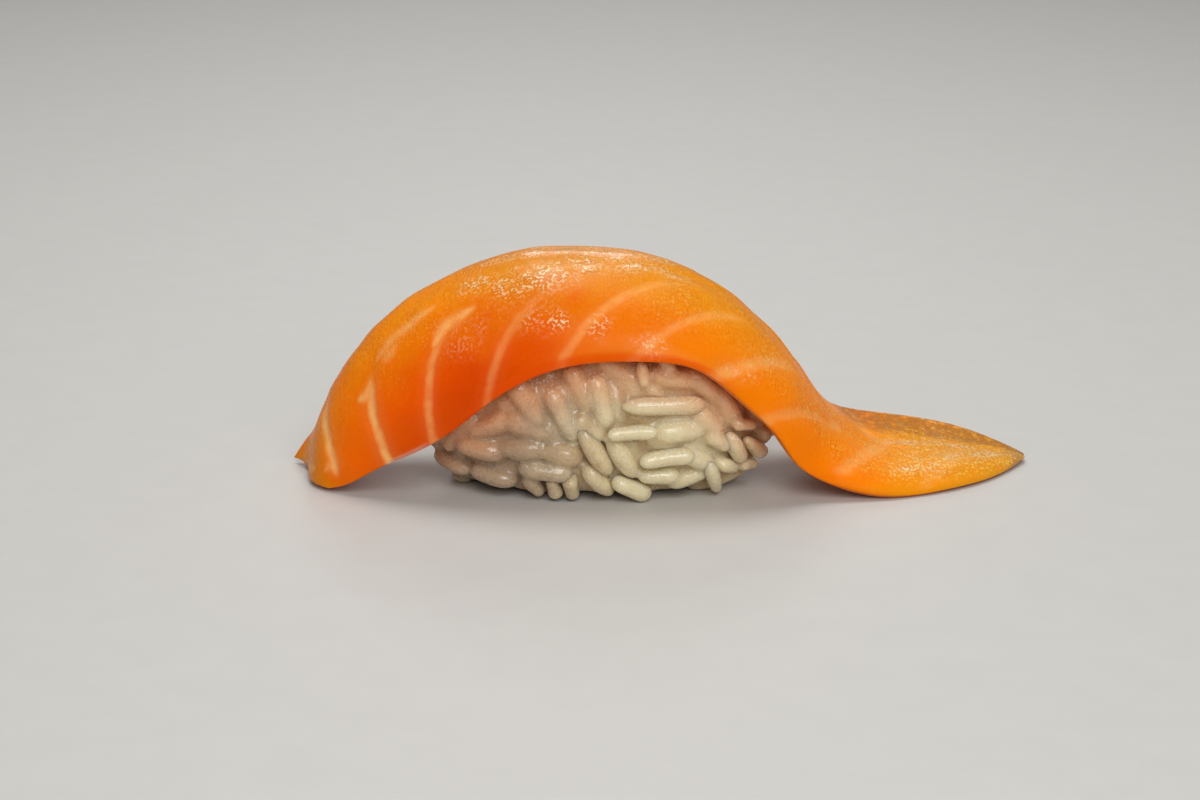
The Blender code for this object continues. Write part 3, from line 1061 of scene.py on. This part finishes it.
@dataclass
class RiceBall:
    """The ball: a sticky mass of merged grains over a core, with loose grains lying in its skin.

    Lengths are in millimetres, and slopes are the part of a unit normal along an axis.
    """

    centre: tuple[float, float, float] = (-7.2, 0.2, 10.0)
    half: tuple[float, float, float] = (20.4, 11.2, 14.0)
    roundness: float = 2.15
    grain_length: float = 8.4
    grain_girth: float = 2.5
    length_range: tuple[float, float] = (0.78, 1.12)
    girth_range: tuple[float, float] = (0.90, 1.08)
    bend_range: tuple[float, float] = (0.1, 0.6)
    lightness_range: tuple[float, float] = (0.35, 0.95)
    outer_count: int = 190
    inner_count: int = 60
    core_inset: float = 0.9
    open_inset: float = 1.0
    seat_step: int = 6
    foot_slope: float = -0.2
    foot_height: float = 2.6
    base_slope: float = -0.9
    open_slope: float = -0.45
    tip_share: float = 0.4
    strewn_flat: float = 0.92
    grain_floor: float = 0.05
    core_floor: float = 0.1
    skin_floor: float = 0.02
    pack_rounds: int = 36
    push_share: float = 0.25
    squash: float = 0.84
    skin_depth: float = 0.92
    lay_flat: float = 0.85
    turn_rate: float = 1.2
    # How far the painted orange glow from the salmon reaches, in millimetres.
    glow_far: float = 7.5
    glow_near: float = 0.5
    clearance: float = 1.6
    grain_fullness: float = 4.0
    flatness: float = 0.06
    waver_depth: float = 0.08
    taper_range: float = 0.20
    crease_depth: float = 0.06
    crease_width: float = 0.5
    packed_detail: tuple[int, int] = (11, 12)
    loose_detail: tuple[int, int] = (13, 14)
    # Distances from a grain's middle line, in girths, over which painted gap shade comes in.
    gap_shade_band: tuple[float, float] = (0.52, 0.85)
    core_rows: int = 60
    core_columns: int = 72
    core_lump: float = 0.45
    core_wave: float = 3.2
    core_clear: float = 0.8
    voxel: float = 0.25
    relax_rounds: int = 2
    seed: int = 7
    # Each shown grain: x and z of its middle, lean in degrees, length, girth, bend, how far it
    # stands out, and its lightness.
    shown: tuple[tuple[float, ...], ...] = (
        (-0.2, 11.4, -1.0, 9.4, 2.4, 0.2, 1.0, 1.0), (-3.6, 8.7, 3.0, 5.6, 1.9, -0.6, 1.3, 1.0),
        (0.1, 5.6, 5.0, 6.2, 2.2, -0.4, 1.2, 1.2), (-7.6, 6.3, -60.0, 6.8, 2.4, 0.2, 0.6, 0.5),
        (5.2, 2.7, -76.0, 5.8, 1.7, 0.4, 1.6, 0.8), (-3.6, 1.9, -26.0, 5.0, 2.3, 0.3, 1.2, 0.9),
        (10.1, 5.3, -52.0, 5.4, 1.9, 0.2, 0.9, 0.7), (-12.1, 1.9, -72.0, 2.8, 1.8, 0.1, 0.8, 0.6),
        (-10.2, 1.9, -80.0, 3.2, 2.0, 0.1, 0.8, 0.6), (7.8, 5.9, -66.0, 4.6, 2.1, 0.2, 1.0, 0.9),
        (-15.0, 11.6, -62.0, 7.0, 3.2, 0.3, 0.5, 0.9), (-11.2, 10.4, -64.0, 6.8, 2.4, 0.2, 0.4, 0.9),
        (-6.9, 11.9, -76.0, 6.4, 2.6, 0.2, 0.4, 0.9), (-4.5, 5.5, -60.0, 6.0, 2.7, 0.2, 0.5, 0.7),
        (-7.2, 2.7, -50.0, 5.2, 2.3, 0.3, 0.8, 0.6), (-0.6, 3.3, 0.0, 4.8, 2.2, 0.2, 0.9, 1.0),
        (3.7, 5.0, -28.0, 4.4, 2.5, 0.2, 0.9, 1.0), (8.8, 8.5, -5.0, 3.2, 1.6, 0.1, 0.9, 0.7),
        (9.4, 3.2, -16.0, 3.8, 1.6, 0.1, 0.8, 0.6), (7.0, 3.7, -25.0, 3.4, 1.9, 0.1, 0.7, 0.7),
        (1.4, 14.2, -14.0, 7.0, 2.6, 0.3, 0.3, 0.6), (4.4, 13.2, -42.0, 6.4, 2.6, 0.3, 0.3, 0.6),
        (6.8, 11.0, -62.0, 6.4, 2.6, 0.3, 0.3, 0.6), (1.6, 8.3, 3.0, 6.4, 2.8, 0.2, 0.4, 0.9),
        (4.7, 9.2, -50.0, 5.2, 2.7, 0.2, 0.3, 0.7), (-2.4, 14.9, -80.0, 3.0, 1.5, 0.1, 0.8, 1.0),
        (0.1, 16.0, -50.0, 2.8, 1.5, 0.1, 0.7, 0.7), (-9.3, 13.4, -66.0, 6.0, 2.7, 0.2, 0.1, 0.5),
        (-8.4, 9.0, -40.0, 4.6, 2.6, 0.2, 0.1, 0.5), (-20.3, 5.8, -10.0, 6.4, 2.9, 0.3, 0.3, 0.4),
        (-15.6, 6.2, 5.0, 6.0, 2.8, 0.3, 0.3, 0.4), (-11.6, 5.9, -10.0, 5.8, 2.8, 0.3, 0.3, 0.4),
        (-13.1, 3.8, -5.0, 6.2, 2.4, 0.3, 0.9, 0.8), (-23.6, 3.2, -16.0, 6.0, 2.1, 0.3, 0.5, 0.4),
        (-18.8, 2.6, -10.0, 5.8, 2.3, 0.3, 0.7, 0.5), (-14.3, 2.0, -55.0, 3.4, 2.0, 0.1, 0.7, 0.6),
        (-14.8, 8.8, -20.0, 6.6, 3.0, 0.2, 0.0, 0.4), (-19.2, 8.7, 24.0, 6.2, 3.0, 0.2, 0.0, 0.4),
        (6.0, 6.9, -35.0, 3.6, 2.0, 0.1, 0.6, 0.8), (2.6, 2.8, 12.0, 5.4, 2.3, 0.2, 0.6, 0.9),
    )
    crisp: int = 10
    finish: RiceFinish = field(default_factory=RiceFinish)

    def near_face(self, x: Array, z: Array) -> Array:
        """Y of the ball's near face at x and z, where the powers of the three shares sum to 1."""
        a = np.abs((x - self.centre[0]) / self.half[0]) ** self.roundness
        c = np.abs((z - self.centre[2]) / self.half[2]) ** self.roundness
        left = np.clip(1.0 - a - c, 0.02, 1.0) ** (1.0 / self.roundness)
        return self.centre[1] - self.half[1] * left

    def shown_grains(self) -> GrainBed:
        """The grains that show on the near side, each lying along the ball's face."""
        x, z, lean, length, girth, bend, proud, lightness = np.array(self.shown).T
        turn = np.radians(lean)
        dx, dz = (way * length * self.tip_share for way in (np.cos(turn), np.sin(turn)))
        y0, y1 = self.near_face(x - dx, z - dz), self.near_face(x + dx, z + dz)
        middle = self.near_face(x, z)
        axis = unit(stacked(2.0 * dx, y1 - y0, 2.0 * dz))
        fan = ((x - self.centre[0]) * 0.03, -np.ones_like(x), (z - 8.0) * 0.04)
        outward = unit(stacked(*fan))
        side = unit(flattened(-outward, axis))
        y = 0.5 * middle + 0.25 * (y0 + y1) + girth / 2.0
        centre = stacked(x, y, z) + outward * proud[:, None]
        return GrainBed(centre, axis, side, length, girth, bend, lightness)

    def strewn(self, layer: Stack, shell: Shell, bare: Array) -> GrainBed:
        """Grains strewn at random over the bare part of the shell, each lying along it.

        Args:
            layer: The outer or the inner layer.
            shell: The ball's outline.
            bare: Which of the shell's triangles the salmon leaves bare.

        Returns:
            The grains, not yet packed.
        """
        outer = layer is Stack.OUTER
        dice = np.random.default_rng(self.seed + outer)
        count = self.outer_count if outer else self.inner_count
        pick = dice.choice(np.flatnonzero(bare), count, replace=False)
        up, spot = shell.normal[pick], shell.middle[pick]
        axis = unit(flattened(dice.normal(size=(count, 3)), up, self.strewn_flat))
        side = unit(np.cross(axis, dice.normal(size=(count, 3))))
        length = self.grain_length * dice.uniform(*self.length_range, count)
        girth = self.grain_girth * dice.uniform(*self.girth_range, count)
        bend = dice.uniform(*self.bend_range, count)
        lightness = dice.uniform(*self.lightness_range, count)
        return GrainBed(spot - up * layer.value, axis, side, length, girth, bend, lightness)

    def settle(self, bed: GrainBed, fixed: int, shell: Shell) -> None:
        """Packs the grains: those that overlap push apart, and the shell keeps them in and flat.

        Args:
            bed: The grains, whose middles and axes are changed.
            fixed: How many grains, from the first, stay where they are.
            shell: The ball's outline.
        """
        radius = bed.girth / 2.0
        for turn in range(self.pack_rounds):
            balls = bed.spheres()
            flat = balls.reshape(-1, 3)
            size = np.repeat(radius, balls.shape[1])
            owner = np.repeat(np.arange(len(radius)), balls.shape[1])
            square = (flat**2).sum(1)
            gap = np.sqrt(np.maximum(square[:, None] + square[None] - 2.0 * flat @ flat.T, 1e-6))
            over = np.maximum(self.squash * (size[:, None] + size[None]) - gap, 0.0)
            over[owner[:, None] == owner[None]] = 0.0
            weight = over / gap
            push = self.push_share * (flat * weight.sum(1, keepdims=True) - weight @ flat)
            at_shell = turn % 4 == 3 or turn == self.pack_rounds - 1
            if at_shell:
                outside, normal = shell.outside(flat)
                push -= np.maximum(outside + self.skin_depth * size, 0.0)[:, None] * normal
            push = push.reshape(balls.shape)
            push[:fixed] = 0.0
            bed.centre += push.mean(axis=1)
            t = np.linspace(-1.0, 1.0, balls.shape[1])
            tilt = (push * t[None, :, None]).sum(axis=1) / (t**2).sum()
            bed.axis = unit(bed.axis + self.turn_rate * tilt / (bed.length / 2.0)[:, None])
            if at_shell:
                up = unit(normal.reshape(balls.shape).mean(axis=1))
                up[:fixed] = 0.0
                bed.axis = unit(flattened(bed.axis, up, self.lay_flat))
            bed.side = unit(flattened(bed.side, bed.axis))

    def tone(self, piece: Piece, points: Array, seat: Array, lightness: Array, gap: Array) -> None:
        """Stores the grains' lightness, how near the salmon each point is, as the share of painted
        orange glow, and the gaps, where painted shade falls.
        """
        glow_share = smooth_step(self.glow_far, self.glow_near, distance_to(points, seat))
        store(piece, "tone", stacked(lightness, glow_share, gap))

    def grain_mesh(self, name: str, bed: GrainBed, seat: Array, detail: tuple[int, int]) -> Piece:
        """Makes a bed of grains into one mesh.

        Each grain is a boxy profile carried along a parabola, a little fuller towards one end and
        flattened, with a shallow crease along it, and its ends close in a point.

        Args:
            name: The piece's name.
            bed: The grains.
            seat: Points of the salmon's underside.
            detail: How many rings of points a grain has, and how many points a ring has.

        Returns:
            The piece.
        """
        rings, sides = detail
        dice = np.random.default_rng(self.seed)
        count = len(bed.length)
        t = -np.cos(np.linspace(0.0, np.pi, rings + 2))[1:-1]
        angle = np.linspace(0.0, 2.0 * np.pi, sides, endpoint=False)
        profile = squared_off(t, self.grain_fullness)
        phase = dice.uniform(0.0, 6.28, (count, 1))
        waver = 1.0 + self.waver_depth * np.sin(3.2 * t[None] + phase)
        taper = 1.0 + dice.uniform(-self.taper_range, self.taper_range, (count, 1)) * t[None]
        radius = (bed.girth / 2.0)[:, None] * profile[None] * waver * taper
        off_crease = (angle - np.pi / 2.0) / self.crease_width
        crease = 1.0 - self.crease_depth * np.exp(-(off_crease**2))
        third = np.cross(bed.axis, bed.side)
        ring = np.cos(angle)[:, None] * (1.0 + self.flatness) * bed.side[:, None]
        ring = ring + np.sin(angle)[:, None] * (1.0 - self.flatness) * third[:, None]
        ring = ring * crease[:, None]
        spine_t = np.concatenate([[-1.0], t, [1.0]])
        reach = (bed.length / 2.0)[:, None] * spine_t
        spine = bed.centre[:, None] + reach[..., None] * bed.axis[:, None]
        spine = spine + (bed.bend[:, None] * spine_t**2)[..., None] * bed.side[:, None]
        tube = spine[:, 1:-1, None, :] + radius[:, :, None, None] * ring[:, None]
        points = np.concatenate([tube.reshape(count, -1, 3), spine[:, :1], spine[:, -1:]], axis=1)
        step = points.shape[1]
        quads = grid_quads(rings, sides, closed=True)[:, ::-1]
        fans = pole_fans(rings, sides, (step - 2, step - 1))
        shift = (np.arange(count) * step)[:, None, None]
        flat = points.reshape(-1, 3)
        flat[:, 2] = np.maximum(flat[:, 2], self.grain_floor)
        piece = make_piece(
            name, flat, (quads[None] + shift).reshape(-1, 4), (fans[None] + shift).reshape(-1, 3)
        )
        self.tone(piece, flat, seat, np.repeat(bed.lightness, step), np.zeros(len(flat)))
        return piece

    def core(self, shell: Shell) -> Piece:
        """The core: the ball's outline drawn inwards, clear of the shell, with low relief."""
        rows, columns = self.core_rows, self.core_columns
        polar = np.linspace(0.0, np.pi, rows)[1:-1, None]
        turn = np.linspace(0.0, 2.0 * np.pi, columns, endpoint=False)[None, :]
        level = np.cos(polar) + 0.0 * turn
        way = stacked(level, np.sin(polar) * np.cos(turn), np.sin(polar) * np.sin(turn))
        way = np.concatenate([way.reshape(-1, 3), [[1.0, 0.0, 0.0], [-1.0, 0.0, 0.0]]])
        size = (np.abs(way / self.half) ** self.roundness).sum(-1) ** (-1.0 / self.roundness)
        inset = self.core_inset + self.open_inset * smooth_step(-0.3, 0.3, way[:, 1])
        size = size - inset + self.core_lump * ripple(way * size[:, None], self.core_wave, 11)
        spot = np.array(self.centre) + way * size[:, None]
        for _ in range(3):
            outside, normal = shell.outside(spot)
            spot = spot - np.maximum(outside + inset * self.core_clear, 0.0)[:, None] * normal
        spot[:, 2] = np.maximum(spot[:, 2], self.core_floor)
        quads = grid_quads(rows - 2, columns, closed=True)[:, ::-1]
        fans = pole_fans(rows - 2, columns, (len(spot) - 2, len(spot) - 1))
        return make_piece("rice_core", spot, quads, fans)

    def mass(self, sources: list[Piece], bed: GrainBed, seat: Array) -> Piece:
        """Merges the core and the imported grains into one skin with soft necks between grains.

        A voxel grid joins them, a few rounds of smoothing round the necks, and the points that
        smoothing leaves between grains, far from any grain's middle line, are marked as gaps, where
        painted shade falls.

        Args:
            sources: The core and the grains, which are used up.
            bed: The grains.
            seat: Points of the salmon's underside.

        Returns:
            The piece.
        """
        meshes = [source.data for source in sources]
        shifts = np.cumsum([0] + [len(mesh.vertices) for mesh in meshes])
        faces = [mesh_triangles(mesh) + shift for mesh, shift in zip(meshes, shifts)]
        joined = bpy.data.meshes.new("joined")
        spots = np.concatenate([mesh_points(mesh) for mesh in meshes])
        joined.from_pydata(spots, [], np.concatenate(faces))
        lump = add_object("lump", joined)
        remesh = lump.modifiers.new("merge", "REMESH")
        remesh.mode = "VOXEL"
        remesh.voxel_size = self.voxel * MM
        remesh.adaptivity = 0.0
        merged = lump.evaluated_get(bpy.context.evaluated_depsgraph_get()).to_mesh()
        corner = np.empty(len(merged.loops), dtype=np.int32)
        merged.loops.foreach_get("vertex_index", corner)
        skin, quads = biggest_part(mesh_points(merged) / MM, corner.reshape(-1, 4))
        skin = relaxed(skin, quads, self.relax_rounds)
        skin[:, 2] = np.maximum(skin[:, 2], self.skin_floor)
        for used in (*sources, lump):
            mesh = used.data
            bpy.data.objects.remove(used)
            bpy.data.meshes.remove(mesh)
        piece = make_piece("rice_mass", skin, quads)
        balls = bed.spheres(9)
        near = nearest_of(skin, balls.reshape(-1, 3))
        grain = near // balls.shape[1]
        away = np.linalg.norm(skin - balls.reshape(-1, 3)[near], axis=1) / bed.girth[grain]
        self.tone(piece, skin, seat, bed.lightness[grain], smooth_step(*self.gap_shade_band, away))
        return piece

    def build(self, salmon: SalmonSlice) -> list[Piece]:
        """Builds the merged mass and the loose grains.

        Args:
            salmon: The slice, whose underside covers and warms the grains near it.

        Returns:
            salmon: The slice, whose underside covers the grains near it and sets where the painted
                orange glow falls on them.
        """
        shell = Shell.of_node("rice_ball")
        _, under, _, _ = salmon.grids()
        seat = under[:: self.seat_step, :: self.seat_step].reshape(-1, 3)
        foot = (shell.normal[:, 1] < self.foot_slope) & (shell.middle[:, 2] < self.foot_height)
        clear = distance_to(shell.middle, seat) > self.clearance
        bare = clear & (shell.normal[:, 2] > self.base_slope) & ~foot
        open_side = bare & (shell.normal[:, 1] > self.open_slope)
        front = self.shown_grains()
        outer = self.strewn(Stack.OUTER, shell, open_side)
        bed = front.joined(outer).joined(self.strewn(Stack.INNER, shell, bare))
        self.settle(bed, len(front.length), shell)
        loose = np.zeros(len(bed.length), dtype=bool)
        loose[: self.crisp] = True
        loose[len(front.length) + 3 : len(front.length) + self.outer_count : 2] = True
        packed = bed.part(~loose)
        grains = self.grain_mesh("packed", packed, seat, self.packed_detail)
        mass = self.mass([self.core(shell), grains], packed, seat)
        return [mass, self.grain_mesh("rice_grains", bed.part(loose), seat, self.loose_detail)]

    def dress(self, pieces: list[Piece]) -> None:
        """Gives the rice its finish and ties it to the frame."""
        material = self.finish.make()
        for piece in pieces:
            piece.data.materials.append(material)
            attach(piece, "root")
            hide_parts("rice_ball")


# ---- the studio


@dataclass(frozen=True)
class SoftBox:
    """A square soft light that faces the piece."""

    name: str
    place: tuple[float, float, float]
    size: float
    power: float

    def hang(self, target: Vector) -> None:
        """Makes the light and turns it to the target."""
        lamp = bpy.data.lights.new(self.name, "AREA")
        lamp.size = self.size
        lamp.energy = self.power
        holder = add_object(self.name, lamp)
        holder.location = self.place
        holder.rotation_euler = (target - Vector(self.place)).to_track_quat("-Z", "Y").to_euler()


@dataclass
class Studio:
    """A pale floor, soft lights and the camera, low in front of the near side."""

    target: tuple[float, float, float] = (-7.05 * MM, 0.0, 9.47 * MM)
    elevation: float = 15.0
    lens: float = 85.0
    frame_width: float = 137.14 * MM
    floor_size: float = 8.0
    floor_level: float = -0.03
    daylight: float = 0.26
    lights: tuple[SoftBox, ...] = (
        SoftBox("overhead", (-0.02, 0.12, 0.54), 0.34, 1.60),
        SoftBox("behind", (-0.02, 0.60, 0.36), 0.22, 0.50),
        SoftBox("front fill", (0.10, -0.60, 0.42), 0.45, 3.5),
    )

    def build(self) -> None:
        """Builds the floor, the lights, the world and the camera."""
        half = self.floor_size / 2.0 / MM
        signs = ((-1, -1), (1, -1), (1, 1), (-1, 1))
        corners = np.array([(x * half, y * half, self.floor_level) for x, y in signs])
        floor = make_piece("floor", corners, np.array([[0, 1, 2, 3]]))
        floor.data.materials.append(PlainFinish("pale floor", Tint("C9C7C2")).make())
        aim = Vector(self.target)
        for light in self.lights:
            light.hang(aim)
        world = bpy.data.worlds.new("studio")
        world.use_nodes = True
        back = world.node_tree.nodes["Background"]
        back.inputs["Color"].default_value = (0.80, 0.80, 0.80, 1.0)
        back.inputs["Strength"].default_value = self.daylight
        bpy.context.scene.world = world
        self.aim_camera(aim)
        bpy.context.scene.view_settings.view_transform = "Standard"

    def aim_camera(self, aim: Vector) -> None:
        """Makes the camera, as far off as its lens needs for the frame's width at the piece."""
        lens = bpy.data.cameras.new("camera")
        lens.lens = self.lens
        lens.clip_start = 0.01
        distance = self.frame_width * self.lens / lens.sensor_width
        tilt = math.radians(self.elevation)
        camera = add_object("camera", lens)
        camera.location = aim + Vector((0.0, -math.cos(tilt), math.sin(tilt))) * distance
        camera.rotation_euler = (math.radians(90.0 - self.elevation), 0.0, 0.0)
        bpy.context.scene.camera = camera


def main() -> None:
    """Builds the piece and its studio, in order, and notes its sizes."""
    logging.basicConfig(level=logging.INFO, format="%(name)s: %(message)s")
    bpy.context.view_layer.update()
    salmon = SalmonSlice()
    slice_piece = salmon.build()
    salmon.dress(slice_piece)
    LOG.info("%s: %d faces", slice_piece.name, len(slice_piece.data.polygons))
    rice = RiceBall()
    pieces = rice.build(salmon)
    rice.dress(pieces)
    for piece in pieces:
        LOG.info("%s: %d faces", piece.name, len(piece.data.polygons))
    Studio().build()
    LOG.info("studio: floor, lights and camera")
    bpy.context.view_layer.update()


if __name__ == "__main__":
    main()
